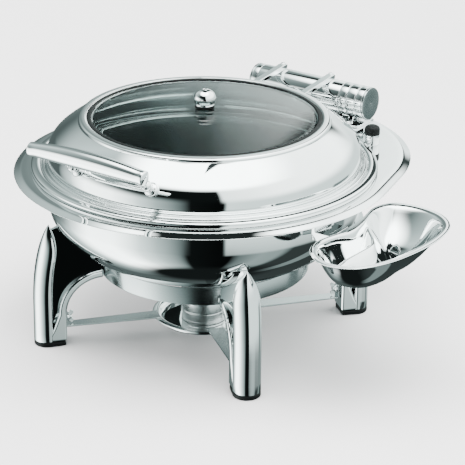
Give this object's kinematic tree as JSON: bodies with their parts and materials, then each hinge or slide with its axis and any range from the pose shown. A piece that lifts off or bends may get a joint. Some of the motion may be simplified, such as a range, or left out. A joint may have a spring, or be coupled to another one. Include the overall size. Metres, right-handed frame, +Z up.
{
  "type": "round chafer",
  "caption": "Round table chafer with a back-hinged glass-topped lid, water pan, food pan, four-legged stand, gel burner and clip-on spoon rest.",
  "frame": {"origin": "on the floor under the lid's centre, in the plane that the four feet stand on", "axes": "+Z up, +Y towards the lid hinge, -Y towards the lid handle, +X towards the spoon rest"},
  "size_m": [0.5325, 0.4975, 0.297],
  "materials": {
    "polished_steel": "mirror polished stainless steel",
    "satin_steel": "satin stainless steel",
    "chrome": "bright chrome plate",
    "tin": "plain tinplate",
    "dark_metal": "dark oiled steel",
    "black_rubber": "matt black rubber",
    "window_glass": "clear tempered glass"
  },
  "bodies": {
    "stand": {"leg_front_left": "polished_steel", "leg_front_right": "polished_steel", "leg_rear_right": "polished_steel", "leg_rear_left": "polished_steel", "foot_front_left": "black_rubber", "foot_front_right": "black_rubber", "foot_rear_right": "black_rubber", "foot_rear_left": "black_rubber", "strap_front_left": "satin_steel", "strap_front_right": "satin_steel", "strap_rear_right": "satin_steel", "strap_rear_left": "satin_steel", "stand_ring": "polished_steel", "strap_screws": "satin_steel", "burner_cup": "polished_steel"},
    "fuel_can": {"fuel_can": "tin", "can_pivot": "satin_steel"},
    "damper_lid": {"damper_lid": "satin_steel"},
    "water_pan": {"water_pan": "polished_steel", "cover_plate": "polished_steel", "hinge_base": "polished_steel", "hinge_pin": "satin_steel", "hinge_bolts": "satin_steel", "damper_cartridge": "dark_metal", "barrel_cap_left": "satin_steel", "barrel_cap_right": "satin_steel", "bumper_post": "chrome", "bumper_pad": "black_rubber", "dish_bracket": "polished_steel"},
    "food_pan": {"food_pan": "satin_steel"},
    "lid": {"lid_dome": "polished_steel", "window_bead": "chrome", "window_gasket": "black_rubber", "window_glass": "window_glass", "vent_knob": "chrome", "vent_washer": "black_rubber", "vent_nut": "satin_steel", "hinge_sleeve": "polished_steel", "hinge_arm_left": "chrome", "hinge_arm_right": "chrome", "arm_screws": "satin_steel", "handle_bar": "chrome", "handle_post_left": "chrome", "handle_post_right": "chrome", "handle_nuts": "satin_steel"},
    "spoon_rest": {"spoon_dish": "polished_steel", "dish_tongue": "satin_steel"}
  },
  "joints": [
    {"name": "pan_lift", "type": "slide", "parent": "stand", "child": "water_pan", "axis": [0, 0, 1], "range_m": [0, 0.08]},
    {"name": "lid_hinge", "type": "hinge", "parent": "water_pan", "child": "lid", "pos_m": [0, 0.232, 0.232], "axis": [-1, 0, 0], "range_deg": [0, 90]},
    {"name": "food_pan_lift", "type": "slide", "parent": "water_pan", "child": "food_pan", "axis": [0, 0, 1], "range_m": [0, 0.015]},
    {"name": "spoon_rest_slide", "type": "slide", "parent": "water_pan", "child": "spoon_rest", "axis": [1, 0, 0], "range_m": [0, 0.018]},
    {"name": "fuel_can_lift", "type": "slide", "parent": "stand", "child": "fuel_can", "axis": [0, 0, 1], "range_m": [0, 0.025]},
    {"name": "damper_swing", "type": "hinge", "parent": "fuel_can", "child": "damper_lid", "pos_m": [0.021, 0, 0.0502], "axis": [0, 0, -1], "range_deg": [0, 110]}
  ]
}
